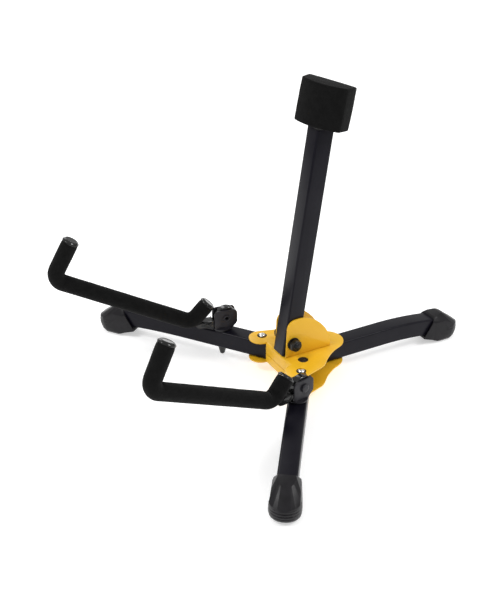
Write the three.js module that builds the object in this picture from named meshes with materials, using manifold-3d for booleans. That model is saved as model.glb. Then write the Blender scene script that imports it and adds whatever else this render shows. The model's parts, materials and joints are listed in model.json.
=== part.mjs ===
// A folding floor stand for a guitar: two sheet-metal hub shells, three square tube legs with
// rubber boots, an upright with a foam back pad, and two foam-covered arms on swivelling clevises.
// Millimetres: +Z up, +Y to the rear, floor at z = 0; left and right mirror across X = 0.
import * as THREE from "three";
import { mergeVertices } from "three/addons/utils/BufferGeometryUtils.js";
import Module from "manifold-3d";

const wasm = await Module();
wasm.setup();

// ---------------------------------------------------------------- driving dimensions

// Depths below are measured from the hub; this is how far behind it the middle of the stand lies.
const ORIGIN_Y = 18.8;
const FIT_GAP = 0.3;

const TUBE = 22;
const TUBE_WALL = 1.5;
const TUBE_CORNER = 2.4;

const SHEET = 1.6;
const HUB_BOTTOM = 13.8;
const HUB_TOP = 41.6;
const FLANGE_HALF_WIDTH = 29;
const FLANGE_FACE_Y = 4;
const FLANGE_BEND = 3;
const FLANGE_SPLIT_LOW = 26;
const FLANGE_SPLIT_HIGH = 26.8;
const EAR_INNER = 11.35;
const REAR_RIVET_YS = [44, 66];

const LEG_PIVOT = { x: 46, y: 8 };
const LEG_SPLAY = 35.3;
const LEG_AXIS_Z = 27.7;
const LEG_INNER_END = -12;
const LEG_BEND = { y: 150, radius: 870 };
const LEG_OUTER_END = { y: 200, z: 22.9 };
const FRONT_BOOT_MOUTH = 180;
const REAR_LEG_INNER_END = 30;
const REAR_LEG_BEND = { y: 185, radius: 450 };
const REAR_LEG_OUTER_END = { y: 238, z: 19.2 };
const REAR_BOOT_MOUTH = 215;

const BUTTON = { x: 25.4, y: 22.9, hole: 6.25 };

const BACK_PIVOT = { y: 16.6, z: 58.5 };
const BACK_LEAN = 8.31;
const BACK_TUBE_BOTTOM = -16.3;
const BACK_TUBE_TOP = 258.9;
const PAD_BASE = 261.6;
const PAD_HEIGHT = 48;
const PAD_EXTRA_LEAN = 2.7;
const PAD_YAW = 30;
const SPIGOT_RADIUS = 6;

const LEG_WASHER = { radius: 9, thick: 0.6 };
const SWIVEL_ALONG_LEG = 54;
const ARM_TURN_OUT = 12;
const PIN_BEHIND_SWIVEL = 4;
const PIN_Z = 55.15;
const PIN_RADIUS = 3;
const KNUCKLE_RADIUS = 13.5;
const KNUCKLE_HALF = 4.2;
const CHEEK_INNER = 4.5;
const CHEEK_OUTER = 6.5;
const WEB_BOTTOM = 39.8;
const WEB_TOP = 41.3;
const FOAM_RADIUS = 10;
const ROD_RADIUS = 6;
const ROD_BORE = 4.8;
const ARM_BEND_RADIUS = 13;
const CAP_LENGTH = 3.6;

// Arm corners, measured forward of the hinge pin and up from the floor.
const ARM_STUB_END = { y: 20.2, z: 77.1 };
const ARM_INNER_CORNER = { y: 42.7, z: 53.2 };
const ARM_OUTER_CORNER = { y: 204.7, z: 136.4 };
const ARM_TIP_END = { y: 179.2, z: 183.1 };

// ---------------------------------------------------------------- materials

const PAINT = { color: 0xf2b51c, roughness: 0.38, metalness: 0.1 };
const BLACK_TUBE = { color: 0x17161c, roughness: 0.32, metalness: 0.3 };
const CHROME = { color: 0xd4d6d8, roughness: 0.18, metalness: 1.0 };
const BLACK_STEEL = { color: 0x1b1b1e, roughness: 0.4, metalness: 0.7 };
const RUBBER = { color: 0x3a393c, roughness: 0.75, metalness: 0.0 };
const FOAM = { color: 0x151517, roughness: 0.95, metalness: 0.0 };
const GLOSS_PLASTIC = { color: 0x0d0d0f, roughness: 0.25, metalness: 0.0 };
const NYLON = { color: 0x222224, roughness: 0.6, metalness: 0.0 };

// ---------------------------------------------------------------- solids

function toSolid(geometry) {
  const bare = geometry.clone();
  bare.deleteAttribute("normal");
  bare.deleteAttribute("uv");
  const merged = mergeVertices(bare, 1e-5);
  const position = merged.attributes.position;
  const corners = [];
  const [a, b, c] = [new THREE.Vector3(), new THREE.Vector3(), new THREE.Vector3()];
  let volume = 0;
  for (let i = 0; i < merged.index.count; i += 3) {
    const [p, q, r] = [0, 1, 2].map((k) => merged.index.getX(i + k));
    if (p === q || q === r || r === p) continue;
    corners.push(p, q, r);
    a.fromBufferAttribute(position, p);
    b.fromBufferAttribute(position, q);
    c.fromBufferAttribute(position, r);
    volume += a.dot(b.cross(c)) / 6;
  }
  if (volume < 0) corners.reverse();
  return new wasm.Manifold(new wasm.Mesh({
    numProp: 3,
    vertProperties: new Float32Array(position.array),
    triVerts: new Uint32Array(corners),
  }));
}

function toGeometry(solid) {
  const mesh = solid.getMesh();
  const geometry = new THREE.BufferGeometry();
  geometry.setAttribute("position", new THREE.BufferAttribute(mesh.vertProperties, 3));
  geometry.setIndex(new THREE.BufferAttribute(mesh.triVerts, 1));
  geometry.computeVertexNormals();
  return geometry;
}

function combine(operation, first, others) {
  let solid = toSolid(first);
  for (const other of others) solid = solid[operation](toSolid(other));
  return toGeometry(solid);
}

const join = (first, ...others) => combine("add", first, others);
const cut = (first, ...others) => combine("subtract", first, others);
const common = (first, ...others) => combine("intersect", first, others);

// An outline in X and Y, raised from z0 to z1.
function raised(shape, z0, z1, curveSegments = 6) {
  const options = { depth: z1 - z0, bevelEnabled: false, curveSegments };
  return new THREE.ExtrudeGeometry(shape, options).translate(0, 0, z0);
}

// An outline in Y and Z, running from x0 to x1.
function acrossX(shape, x0, x1, curveSegments = 6) {
  const axes = [new THREE.Vector3(0, 1, 0), new THREE.Vector3(0, 0, 1), new THREE.Vector3(1, 0, 0)];
  return raised(shape, x0, x1, curveSegments).applyMatrix4(new THREE.Matrix4().makeBasis(...axes));
}

// An outline in X and Z, running from y0 to y1.
function alongY(shape, y0, y1, curveSegments = 6) {
  const flat = raised(shape, -y1, -y0, curveSegments);
  return flat.rotateX(Math.PI / 2);
}

// A profile of [radius, height] pairs turned about Z.
function turned(profile, segments = 14) {
  const points = profile.map(([radius, height]) => new THREE.Vector2(radius, height));
  return new THREE.LatheGeometry(points, segments).rotateX(Math.PI / 2);
}

function post(radius, z0, z1, segments = 14) {
  return turned([[0, z0], [radius, z0], [radius, z1], [0, z1]], segments);
}

function ring(inner, outer, z0, z1, segments = 14) {
  return turned([[inner, z0], [outer, z0], [outer, z1], [inner, z1], [inner, z0]], segments);
}

// The same shape lying along X, with its lower end toward -X.
const layAlongX = (geometry) => geometry.rotateY(Math.PI / 2);

function polygon(points) {
  return new THREE.Shape(points.map(([x, y]) => new THREE.Vector2(x, y)));
}

function roundedSquare(size, corner) {
  const half = size / 2;
  const shape = new THREE.Shape();
  shape.moveTo(-half + corner, -half);
  for (const [quarter, sx, sy] of [[0, 1, -1], [1, 1, 1], [2, -1, 1], [3, -1, -1]]) {
    const from = (quarter - 1) * Math.PI / 2;
    shape.absarc(sx * (half - corner), sy * (half - corner), corner, from, from + Math.PI / 2);
  }
  return shape;
}

function circle(radius) {
  return new THREE.Shape().absarc(0, 0, radius, 0, Math.PI * 2);
}

// Straight runs joined by round bends, with stations only where the path turns.
class BentPath extends THREE.Curve {
  constructor(corners, bendRadius, stepsPerBend) {
    super();
    const heading = (from, to) => to.clone().sub(from).normalize();
    this.points = [corners[0].clone()];
    this.tangents = [heading(corners[0], corners[1])];
    for (let i = 1; i < corners.length - 1; i++) {
      const before = heading(corners[i - 1], corners[i]);
      const after = heading(corners[i], corners[i + 1]);
      const turn = before.angleTo(after);
      const axis = before.clone().cross(after).normalize();
      const inward = axis.clone().cross(before);
      const start = corners[i].clone().addScaledVector(before, -bendRadius * Math.tan(turn / 2));
      for (let k = 0; k <= stepsPerBend; k++) {
        const angle = turn * k / stepsPerBend;
        const spoke = inward.clone().applyAxisAngle(axis, angle).multiplyScalar(-bendRadius);
        this.points.push(start.clone().addScaledVector(inward, bendRadius).add(spoke));
        this.tangents.push(before.clone().applyAxisAngle(axis, angle));
      }
    }
    const last = corners.length - 1;
    this.points.push(corners[last].clone());
    this.tangents.push(heading(corners[last - 1], corners[last]));
  }

  getPointAt(u, target = new THREE.Vector3()) {
    return target.copy(this.points[Math.round(u * (this.points.length - 1))]);
  }

  getTangentAt(u, target = new THREE.Vector3()) {
    return target.copy(this.tangents[Math.round(u * (this.points.length - 1))]);
  }
}

// A section carried along a bent path.
function swept(shape, path, curveSegments) {
  const steps = path.points.length - 1;
  const options = { extrudePath: path, steps, curveSegments, bevelEnabled: false };
  return new THREE.ExtrudeGeometry(shape, options);
}

const inPlane = ({ y, z }) => new THREE.Vector3(0, y, z);

function place(geometry, { x = 0, y = 0, z = 0, turn = 0 }) {
  return geometry.rotateZ(THREE.MathUtils.degToRad(turn)).translate(x, y, z);
}

const stand = new THREE.Group();
stand.position.y = -ORIGIN_Y;

function add(name, geometry, look, parent = stand) {
  const mesh = new THREE.Mesh(toGeometry(toSolid(geometry)), new THREE.MeshStandardMaterial(look));
  mesh.name = name;
  parent.add(mesh);
}

// ---------------------------------------------------------------- hub shells

// Half of the outline, from the front middle round the leg lobe to the rear middle, then mirrored.
function hubOutline() {
  const lobe = { x: 43.5, y: 5, radius: 14.5, from: 184, to: 377.6 };
  const rear = { y: 70.5, radius: 20.7, end: 15 };
  const shape = new THREE.Shape();
  const front = FLANGE_FACE_Y + FLANGE_BEND;
  const rad = THREE.MathUtils.degToRad;
  shape.moveTo(-FLANGE_HALF_WIDTH, front);
  shape.lineTo(FLANGE_HALF_WIDTH, front);
  shape.lineTo(FLANGE_HALF_WIDTH, FLANGE_FACE_Y);
  shape.absarc(lobe.x, lobe.y, lobe.radius, rad(lobe.from), rad(lobe.to));
  shape.lineTo(49.5, 34);
  shape.bezierCurveTo(47.5, 40.5, 41, 45, 36, 50.5);
  shape.bezierCurveTo(29.5, 57.7, 22.6, 67.7, 20.3, 76.4);
  shape.absarc(0, rear.y, rear.radius, rad(rear.end), rad(180 - rear.end));
  shape.bezierCurveTo(-22.6, 67.7, -29.5, 57.7, -36, 50.5);
  shape.bezierCurveTo(-41, 45, -47.5, 40.5, -49.5, 34);
  shape.absarc(-lobe.x, lobe.y, lobe.radius, rad(180 - lobe.to), rad(180 - lobe.from));
  shape.lineTo(-FLANGE_HALF_WIDTH, front);
  return shape;
}

// The turned-down front wall, as a side profile: plateZ is the plate's outer face and sign its side.
function frontFlange(plateZ, endZ, sign) {
  const outerY = FLANGE_FACE_Y;
  const innerY = outerY + SHEET;
  const bendY = outerY + FLANGE_BEND;
  const bendZ = plateZ - sign * FLANGE_BEND;
  const rearY = bendY + 1;
  const shape = new THREE.Shape();
  shape.moveTo(outerY, endZ);
  shape.lineTo(innerY, endZ);
  shape.lineTo(innerY, bendZ);
  const inner = FLANGE_BEND - SHEET;
  shape.quadraticCurveTo(innerY, bendZ + sign * inner, bendY, bendZ + sign * inner);
  shape.lineTo(rearY, bendZ + sign * inner);
  shape.lineTo(rearY, plateZ);
  shape.lineTo(bendY, plateZ);
  shape.quadraticCurveTo(outerY, plateZ, outerY, bendZ);
  shape.closePath();
  return acrossX(shape, -FLANGE_HALF_WIDTH - 0.1, FLANGE_HALF_WIDTH + 0.1, 3);
}

function earOutline() {
  const shape = new THREE.Shape();
  shape.moveTo(7, HUB_TOP - 1);
  shape.lineTo(8.5, 79);
  shape.bezierCurveTo(9, 84, 12.5, 88.5, 18, 89.2);
  shape.bezierCurveTo(27, 90.3, 35.5, 89, 43.5, 84);
  shape.bezierCurveTo(53, 78, 62, 68.5, 66, 56);
  shape.bezierCurveTo(67.6, 51, 68.2, 46, 67.4, HUB_TOP - 1);
  shape.closePath();
  return shape;
}

const RIVET_SHANK = 3;
const RIVET_HOLE = RIVET_SHANK + FIT_GAP;

function hubHoles(z0, z1) {
  const holes = [];
  for (const side of [1, -1]) {
    holes.push(place(post(RIVET_HOLE, z0, z1, 12), { x: side * LEG_PIVOT.x, y: LEG_PIVOT.y }));
  }
  for (const y of REAR_RIVET_YS) holes.push(place(post(RIVET_HOLE, z0, z1, 12), { y }));
  return holes;
}

const topPlate = raised(hubOutline(), HUB_TOP - SHEET, HUB_TOP, 4);
const ears = [1, -1].map((side) => {
  const [x0, x1] = [side * EAR_INNER, side * (EAR_INNER + SHEET)].sort((p, q) => p - q);
  return acrossX(earOutline(), x0, x1, 4);
});
const buttonHoles = [1, -1].map((side) =>
  place(post(BUTTON.hole, HUB_TOP - 3, HUB_TOP + 1, 18), { x: side * BUTTON.x, y: BUTTON.y }));
const BOLT_RADIUS = 4;
const atBackPivot = (geometry) => geometry.translate(0, BACK_PIVOT.y, BACK_PIVOT.z);
const backBoltHole = atBackPivot(layAlongX(post(BOLT_RADIUS + FIT_GAP, -20, 20)));
add("hub_top_shell", cut(
  join(topPlate, frontFlange(HUB_TOP, FLANGE_SPLIT_HIGH, 1), ...ears),
  ...hubHoles(HUB_TOP - 3, HUB_TOP + 1), ...buttonHoles, backBoltHole), PAINT);

const bottomPlate = raised(hubOutline(), HUB_BOTTOM, HUB_BOTTOM + SHEET, 4);
add("hub_bottom_shell", cut(
  join(bottomPlate, frontFlange(HUB_BOTTOM, FLANGE_SPLIT_LOW, -1)),
  ...hubHoles(HUB_BOTTOM - 1, HUB_BOTTOM + 3)), PAINT);

// A domed rivet through both shells, with a flat closing head below.
function rivet() {
  const dome = [[5, FIT_GAP], [4.9, 1.1], [4.2, 2], [2.6, 2.6], [0, 2.8]].map(([r, z]) => [r, HUB_TOP + z]);
  const under = HUB_BOTTOM - FIT_GAP;
  return turned([[0, under - 1.4], [4.2, under - 1.4], [5, under], [RIVET_SHANK, under],
    [RIVET_SHANK, HUB_TOP + FIT_GAP], ...dome], 14);
}

// ---------------------------------------------------------------- tubes and boots

const legCorners = (start, bend, end) => [
  inPlane({ y: start, z: LEG_AXIS_Z }), inPlane({ y: bend.y, z: LEG_AXIS_Z }), inPlane(end)];

const frontPath = new BentPath(legCorners(LEG_INNER_END, LEG_BEND, LEG_OUTER_END), LEG_BEND.radius, 3);
const rearPath = new BentPath(
  legCorners(REAR_LEG_INNER_END, REAR_LEG_BEND, REAR_LEG_OUTER_END), REAR_LEG_BEND.radius, 3);

function squareTube(path) {
  const section = roundedSquare(TUBE, TUBE_CORNER);
  section.holes.push(roundedSquare(TUBE - 2 * TUBE_WALL, TUBE_CORNER - TUBE_WALL));
  return swept(section, path, 1);
}

// The boot seen from the side, from above and from the front, measured from its mouth's top edge.
const BOOT = { halfWidth: 17.5, mouthHalfWidth: 14.3, toeCentre: 29.8 };

function bootSide() {
  const shape = new THREE.Shape();
  shape.moveTo(0, 37.3);
  shape.lineTo(18, 39);
  shape.lineTo(26, 36);
  shape.lineTo(45.5, 20.7);
  shape.quadraticCurveTo(47.3, 19, 47.3, 15);
  shape.lineTo(47.3, 8);
  shape.lineTo(45, 4.4);
  shape.lineTo(41.8, 1.4);
  shape.lineTo(38, 0);
  shape.lineTo(20, 0);
  shape.lineTo(-8, 10.3);
  shape.lineTo(-6, 12.5);
  shape.closePath();
  return acrossX(shape, -20, 20, 4);
}

// Straight sides that widen to a round toe.
function bootPlan() {
  const { halfWidth, mouthHalfWidth, toeCentre } = BOOT;
  const shape = new THREE.Shape();
  shape.moveTo(-mouthHalfWidth + 0.4, -12);
  shape.lineTo(mouthHalfWidth - 0.4, -12);
  shape.lineTo(mouthHalfWidth, 6);
  shape.quadraticCurveTo(halfWidth, 18, halfWidth, toeCentre);
  shape.absarc(0, toeCentre, halfWidth, 0, Math.PI);
  shape.quadraticCurveTo(-halfWidth, 18, -mouthHalfWidth, 6);
  shape.closePath();
  return raised(shape, -1, 41, 7);
}

function bootFront() {
  const half = [[10, 0], [14, 1.6], [17, 5.6], [17.6, 8], [15, 32], [9.8, 40]];
  const mirrored = half.map(([x, z]) => [-x, z]).reverse();
  return alongY(polygon([...half, ...mirrored]), -14, 51);
}

function boot(mouthY, path) {
  const body = common(bootSide(), bootPlan(), bootFront()).translate(0, mouthY, 0);
  const last = path.points[path.points.length - 1];
  const heading = path.tangents[path.tangents.length - 1];
  const corners = [...path.points.slice(1, -1), last.clone().addScaledVector(heading, 2 * FIT_GAP)];
  const socket = swept(roundedSquare(TUBE + 2 * FIT_GAP, TUBE_CORNER), new BentPath(corners, 1, 1), 1);
  return cut(body, socket);
}

// ---------------------------------------------------------------- rear leg

const rearHoles = REAR_RIVET_YS.map((y) => place(post(RIVET_HOLE, 10, 45, 12), { y }));
add("rear_leg_tube", cut(squareTube(rearPath), ...rearHoles), BLACK_TUBE);
add("rear_foot", boot(REAR_BOOT_MOUTH, rearPath), RUBBER);
add("rear_leg_rivet_front", place(rivet(), { y: REAR_RIVET_YS[0] }), CHROME);
add("rear_leg_rivet_rear", place(rivet(), { y: REAR_RIVET_YS[1] }), CHROME);

// ---------------------------------------------------------------- backrest

const back = new THREE.Group();
back.position.set(0, BACK_PIVOT.y, BACK_PIVOT.z);
back.rotation.x = THREE.MathUtils.degToRad(-BACK_LEAN);
stand.add(back);

function backTube() {
  const half = TUBE / 2;
  const section = roundedSquare(TUBE, TUBE_CORNER);
  section.holes.push(roundedSquare(TUBE - 2 * TUBE_WALL, TUBE_CORNER - TUBE_WALL));
  const tube = raised(section, BACK_TUBE_BOTTOM - 1, BACK_TUBE_TOP, 1);
  const side = new THREE.Shape();
  const toe = -BACK_TUBE_BOTTOM;
  side.moveTo(-half - 1, BACK_TUBE_BOTTOM);
  side.absarc(0, 0, toe, -Math.PI / 2, -Math.acos((half + 0.5) / toe));
  side.lineTo(half + 1, 0);
  side.lineTo(half + 1, BACK_TUBE_TOP + 1);
  side.lineTo(-half - 1, BACK_TUBE_TOP + 1);
  side.closePath();
  const hole = layAlongX(post(BOLT_RADIUS + 0.4, -12, 12));
  return cut(common(tube, acrossX(side, -12, 12, 8)), hole);
}

function padSpigot() {
  const inner = TUBE - 2 * TUBE_WALL - 2 * FIT_GAP;
  const plug = raised(roundedSquare(inner, 0.6), BACK_TUBE_TOP - 22, BACK_TUBE_TOP + 1, 1);
  const flangeBottom = BACK_TUBE_TOP + FIT_GAP;
  const flange = raised(roundedSquare(TUBE, TUBE_CORNER), flangeBottom, flangeBottom + 1.5, 1);
  const shaft = post(SPIGOT_RADIUS, BACK_TUBE_TOP, PAD_BASE + 30);
  return join(plug, flange, shaft);
}

// D-section with a curved front, two straight shoulders and a slightly crowned back.
function padSection() {
  const shape = new THREE.Shape();
  shape.moveTo(28, -10.4);
  shape.lineTo(29.5, 6.8);
  shape.quadraticCurveTo(0, 12, -29.5, 6.8);
  shape.lineTo(-28, -10.4);
  shape.quadraticCurveTo(0, -31, 28, -10.4);
  return shape;
}

function backPad() {
  const body = raised(padSection(), 0, PAD_HEIGHT, 12);
  body.rotateZ(THREE.MathUtils.degToRad(PAD_YAW));
  body.rotateX(THREE.MathUtils.degToRad(-PAD_EXTRA_LEAN));
  body.translate(0, 0, PAD_BASE);
  return cut(body, post(SPIGOT_RADIUS + FIT_GAP, PAD_BASE - 5, PAD_BASE + 30.5));
}

function backBush() {
  const half = TUBE / 2 - TUBE_WALL - FIT_GAP;
  return layAlongX(ring(BOLT_RADIUS + FIT_GAP, 5.8, -half, half));
}

add("backrest_tube", backTube(), BLACK_TUBE, back);
add("backrest_bush", backBush(), NYLON, back);
add("pad_spigot", padSpigot(), NYLON, back);
add("backrest_pad", backPad(), FOAM, back);

// The pivot bolt runs across X: washers against the ears, head at -X and nut at +X.
const EAR_FACE = EAR_INNER + SHEET;
const WASHER_IN = EAR_FACE + FIT_GAP;
const WASHER_OUT = WASHER_IN + 1.5;
const WASHER_RADIUS = 8;
const HEX = 13;

function hexPrism(x0, x1) {
  const corner = HEX / 2 / Math.cos(Math.PI / 6);
  return layAlongX(post(corner, x0, x1, 6));
}

const boltShank = layAlongX(turned([[0, -WASHER_OUT - 1], [BOLT_RADIUS, -WASHER_OUT - 1],
  [BOLT_RADIUS, 22.9], [3, 23.9], [0, 24.3]]));
const headInner = -WASHER_OUT - FIT_GAP;
const nutInner = WASHER_OUT + FIT_GAP;
add("backrest_bolt", atBackPivot(join(boltShank, hexPrism(headInner - 5.3, headInner))), BLACK_STEEL);
add("backrest_nut", atBackPivot(cut(
  hexPrism(nutInner, nutInner + 6.2), layAlongX(post(BOLT_RADIUS + FIT_GAP, 0, 30)))), BLACK_STEEL);
for (const [side, name] of [[1, "right"], [-1, "left"]]) {
  const [x0, x1] = [side * WASHER_IN, side * WASHER_OUT].sort((p, q) => p - q);
  const washer = layAlongX(ring(BOLT_RADIUS + FIT_GAP, WASHER_RADIUS, x0, x1));
  add(`backrest_washer_${name}`, atBackPivot(washer), BLACK_STEEL);
}

// ---------------------------------------------------------------- arms, drawn forward along +Y

const ABOVE_PIN = (z) => z + PIN_Z;

// The neck and the lug are drawn about this height, which the arm's lower run passes through.
const NECK_Z = 53.7;

function armPath(trimStub, trimTip) {
  const corners = [ARM_STUB_END, ARM_INNER_CORNER, ARM_OUTER_CORNER, ARM_TIP_END].map(inPlane);
  const pull = (end, toward, distance) => {
    end.addScaledVector(toward.clone().sub(end).normalize(), distance);
  };
  pull(corners[0], corners[1], trimStub);
  pull(corners[3], corners[2], trimTip);
  return new BentPath(corners, ARM_BEND_RADIUS, 4);
}

function roundSection(outer, inner) {
  const shape = circle(outer);
  if (inner) shape.holes.push(circle(inner));
  return shape;
}

// The neck that ties the hinge disc to the arm tube; margin makes the slot it passes through.
function neck(margin, half) {
  const points = [[-2, -9.4 - margin], [16, -8.4 - margin], [34, -7 - margin], [41, 0],
    [36, 6.6 + margin], [28, -0.8 + margin], [8, -0.8 + margin]];
  return acrossX(polygon(points.map(([y, z]) => [y, z + NECK_Z])), -half, half);
}

function knuckle() {
  const disc = layAlongX(post(KNUCKLE_RADIUS, -KNUCKLE_HALF, KNUCKLE_HALF, 20)).translate(0, 0, PIN_Z);
  const lugOutline = [[17.6, -0.8], [17.6, -3.6], [20, -7], [24.3, -8.6], [30.3, -8.2], [36, -7.6],
    [36, -2], [29, -0.8]];
  const lug = acrossX(polygon(lugOutline.map(([y, z]) => [y, z + NECK_Z])), -6, 6);
  const foamRoom = swept(roundSection(FOAM_RADIUS + 0.5), armPath(0, 0), 7);
  const rodRoom = swept(roundSection(ROD_RADIUS + 0.4), armPath(0, 0), 7);
  const pinHole = layAlongX(post(PIN_RADIUS + FIT_GAP, -10, 10, 12)).translate(0, 0, PIN_Z);
  return cut(join(disc, neck(0, KNUCKLE_HALF), cut(lug, foamRoom)), rodRoom, pinHole);
}

function armFoam() {
  const trim = CAP_LENGTH + FIT_GAP;
  const sleeve = swept(roundSection(FOAM_RADIUS, ROD_RADIUS + 0.4), armPath(trim, trim), 7);
  return cut(sleeve, neck(0.4, KNUCKLE_HALF + FIT_GAP));
}

// A bevelled cap drawn along +Z with its outer face at z = 0, and a plug below it.
function endCap() {
  const plug = { radius: ROD_BORE - FIT_GAP, end: -CAP_LENGTH - 9 };
  const rim = FOAM_RADIUS - 0.2;
  return turned([[0, plug.end], [plug.radius, plug.end], [plug.radius, -CAP_LENGTH], [rim, -CAP_LENGTH],
    [rim, -1.6], [rim - 1.6, 0], [0, 0]], 16);
}

function capAt(end, toward) {
  const outward = inPlane(end).sub(inPlane(toward)).normalize();
  const aim = new THREE.Quaternion().setFromUnitVectors(new THREE.Vector3(0, 0, 1), outward);
  return endCap().applyQuaternion(aim).translate(0, end.y, end.z);
}

// Two cheeks on a round web; the lower rear corners are cut away to pass over the hub.
function clevis() {
  const outline = [[-5.5, WEB_BOTTOM], [13.5, WEB_BOTTOM], [15, ABOVE_PIN(-12)], [15, ABOVE_PIN(6.5)],
    [11, ABOVE_PIN(10.3)], [-9.5, ABOVE_PIN(10.3)], [-13.5, ABOVE_PIN(6.5)], [-13.5, ABOVE_PIN(-7)]];
  const block = acrossX(polygon(outline), -CHEEK_OUTER, CHEEK_OUTER);
  const slot = [[-20, WEB_TOP], [20, WEB_TOP], [20, 80], [-20, 80]];
  const room = acrossX(polygon(slot), -CHEEK_INNER, CHEEK_INNER);
  const web = post(11.5, WEB_BOTTOM, WEB_TOP, 20).translate(0, PIN_BEHIND_SWIVEL, 0);
  const bore = PIN_RADIUS + FIT_GAP;
  const seat = turned([[0, WEB_BOTTOM - 1], [bore, WEB_BOTTOM - 1], [bore, WEB_BOTTOM + 0.15],
    [5.95, WEB_TOP], [5.95, WEB_TOP + 1], [0, WEB_TOP + 1]], 14).translate(0, PIN_BEHIND_SWIVEL, 0);
  const pinHole = layAlongX(post(PIN_RADIUS + FIT_GAP, -10, 10, 12)).translate(0, 0, PIN_Z);
  return cut(join(cut(block, room), web), seat, pinHole);
}

// Domed head at -X, a flared and hollow end at +X.
function hingePin() {
  const face = CHEEK_OUTER + FIT_GAP;
  const body = turned([[0, -face - 2.6], [2.4, -face - 2.4], [4.1, -face - 1.5], [4.75, -face],
    [PIN_RADIUS, -face], [PIN_RADIUS, face], [4, face], [4, face + 1], [3.4, face + 1.5],
    [2.25, face + 1.5], [2.25, face - 4], [0, face - 4]], 14);
  return layAlongX(body).translate(0, 0, PIN_Z);
}

const TUBE_UNDER = LEG_AXIS_Z - TUBE / 2;
const TUBE_OVER = LEG_AXIS_Z + TUBE / 2;

function swivelBolt() {
  const end = 8.6;
  return turned([[0, end], [2.4, end], [PIN_RADIUS, end + 0.6], [PIN_RADIUS, WEB_TOP - 1.3],
    [5.5, WEB_TOP - 0.15], [0, WEB_TOP - 0.1]], 14);
}

// A tapered cap nut with a blind bore, under the leg.
function swivelNut() {
  const top = TUBE_UNDER - FIT_GAP;
  const bore = PIN_RADIUS + FIT_GAP;
  return turned([[0, 2.2], [2.2, 2.7], [3.5, 4.2], [3.9, 6], [6, top - 0.6], [6, top],
    [bore, top], [bore, 8], [0, 8]], 14);
}

// ---------------------------------------------------------------- one front leg and its arm per side

function lockButton() {
  const foot = HUB_BOTTOM + SHEET + 2.9;
  const collar = HUB_TOP - SHEET - FIT_GAP;
  const head = BUTTON.hole - FIT_GAP;
  return turned([[0, foot], [3.4, foot], [4, foot + 0.6], [4, collar - 1.7], [7.6, collar - 1.7],
    [7.6, collar], [head, collar], [head, HUB_TOP + 0.1], [head - 0.35, HUB_TOP + 0.4],
    [0, HUB_TOP + 0.4]], 18);
}

for (const [side, name] of [[1, "right"], [-1, "left"]]) {
  const leg = new THREE.Group();
  leg.position.set(side * LEG_PIVOT.x, LEG_PIVOT.y, 0);
  leg.rotation.z = -side * THREE.MathUtils.degToRad(90 + LEG_SPLAY);
  stand.add(leg);

  const legHoles = [0, SWIVEL_ALONG_LEG].map((y) => place(post(RIVET_HOLE, 10, 45, 12), { y }));
  add(`${name}_leg_tube`, cut(squareTube(frontPath), ...legHoles), BLACK_TUBE, leg);
  add(`${name}_foot`, boot(FRONT_BOOT_MOUTH, frontPath), RUBBER, leg);
  add(`${name}_leg_rivet`, rivet(), CHROME, leg);
  const slack = (HUB_TOP - SHEET - TUBE_OVER - LEG_WASHER.thick) / 2;
  const over = TUBE_OVER + slack;
  const under = TUBE_UNDER - slack;
  const legWasher = (z0, z1) => ring(RIVET_HOLE, LEG_WASHER.radius, z0, z1);
  add(`${name}_leg_washer_top`, legWasher(over, over + LEG_WASHER.thick), NYLON, leg);
  add(`${name}_leg_washer_bottom`, legWasher(under - LEG_WASHER.thick, under), NYLON, leg);
  add(`${name}_lock_button`, place(lockButton(), { x: side * BUTTON.x, y: BUTTON.y }), NYLON);

  const swivel = new THREE.Vector3(0, SWIVEL_ALONG_LEG, 0).applyEuler(leg.rotation).add(leg.position);
  const arm = new THREE.Group();
  arm.rotation.z = Math.PI + side * THREE.MathUtils.degToRad(ARM_TURN_OUT);
  arm.position.copy(new THREE.Vector3(0, -PIN_BEHIND_SWIVEL, 0).applyEuler(arm.rotation).add(swivel));
  stand.add(arm);

  const atSwivel = (geometry) => geometry.translate(0, PIN_BEHIND_SWIVEL, 0);
  const swivelWasher = ring(PIN_RADIUS + FIT_GAP, 11, TUBE_OVER + 0.25, WEB_BOTTOM - 0.25);
  add(`${name}_swivel_washer`, atSwivel(swivelWasher), NYLON, arm);
  add(`${name}_swivel_bolt`, atSwivel(swivelBolt()), BLACK_STEEL, arm);
  add(`${name}_swivel_nut`, atSwivel(swivelNut()), GLOSS_PLASTIC, arm);
  add(`${name}_clevis`, clevis(), GLOSS_PLASTIC, arm);
  add(`${name}_hinge_pin`, side > 0 ? hingePin() : hingePin().rotateZ(Math.PI), CHROME, arm);
  add(`${name}_arm_knuckle`, knuckle(), GLOSS_PLASTIC, arm);
  const rodPath = armPath(CAP_LENGTH + FIT_GAP, CAP_LENGTH + FIT_GAP);
  add(`${name}_arm_tube`, swept(roundSection(ROD_RADIUS, ROD_BORE), rodPath, 7), BLACK_STEEL, arm);
  add(`${name}_arm_foam`, armFoam(), FOAM, arm);
  add(`${name}_arm_stub_cap`, capAt(ARM_STUB_END, ARM_INNER_CORNER), GLOSS_PLASTIC, arm);
  add(`${name}_arm_tip_cap`, capAt(ARM_TIP_END, ARM_OUTER_CORNER), GLOSS_PLASTIC, arm);
}

export default stand;
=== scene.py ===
"""Blender look of the folding guitar stand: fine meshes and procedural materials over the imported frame.

Shapes are drawn in millimetres in the local frame of the leg, arm or upright they belong to, and each
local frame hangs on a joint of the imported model. Everything is stored in metres, in the row frame.
"""
import json
import math

import bmesh
import bpy
from mathutils import Matrix, Vector, noise


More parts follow.
